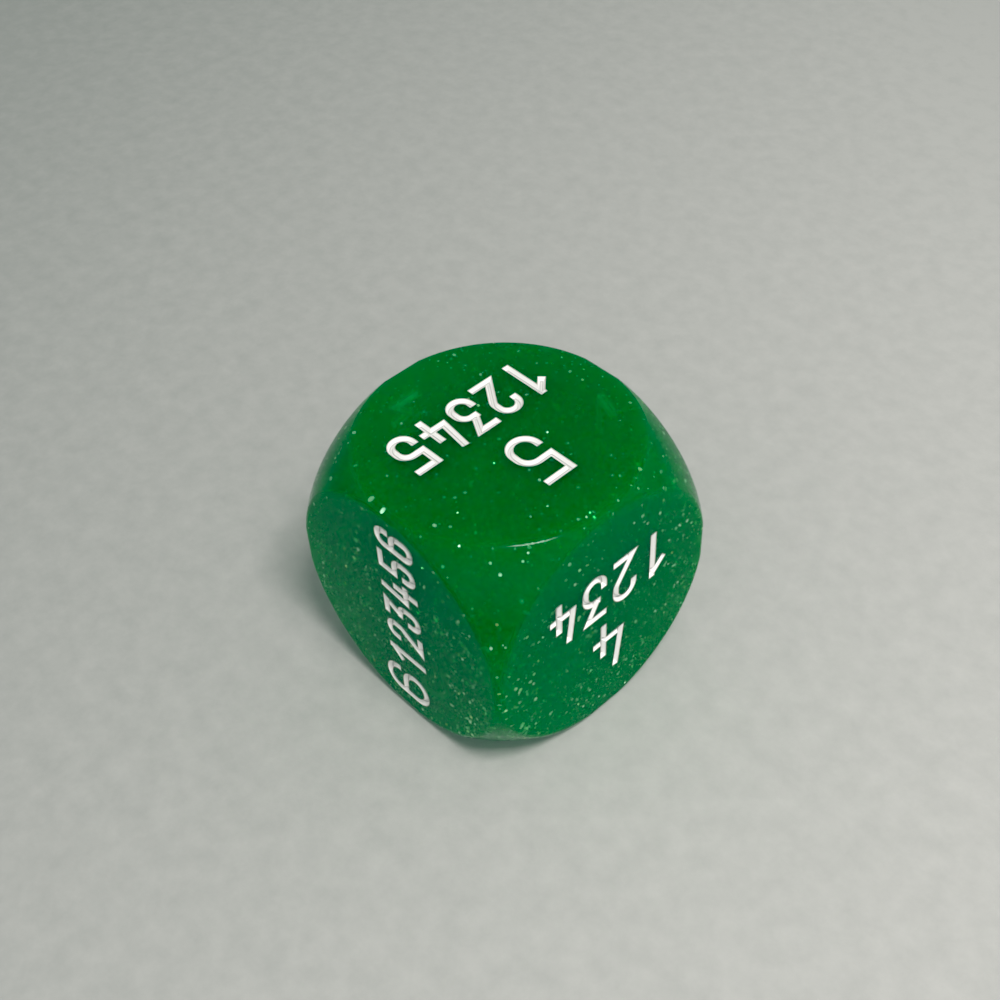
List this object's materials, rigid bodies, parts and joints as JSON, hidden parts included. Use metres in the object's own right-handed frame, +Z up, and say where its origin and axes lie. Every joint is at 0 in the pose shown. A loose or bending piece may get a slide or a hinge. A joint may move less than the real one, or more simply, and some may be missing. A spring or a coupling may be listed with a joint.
{
  "type": "six-sided die",
  "caption": "Cube die of clear green glitter resin with sphere-cut corners, round flat faces and engraved numerals lined in white paint.",
  "frame": {"origin": "centre of the flat face that the die rests on, the one marked two", "axes": "+Z up through the face marked five, +X through the face marked four, +Y through the face marked one"},
  "size_m": [0.025, 0.025, 0.025],
  "materials": {
    "green_resin": "clear green cast resin with a slight haze, polished",
    "white_paint": "matt white paint in the engraved grooves",
    "silver_foil": "bright silver glitter foil sealed in the resin"
  },
  "bodies": {
    "root": {"die_body": "green_resin", "paint_lining_one": "white_paint", "paint_lining_two": "white_paint", "paint_lining_three": "white_paint", "paint_lining_four": "white_paint", "paint_lining_five": "white_paint", "paint_lining_six": "white_paint", "glitter_flakes": "silver_foil"}
  },
  "joints": []
}
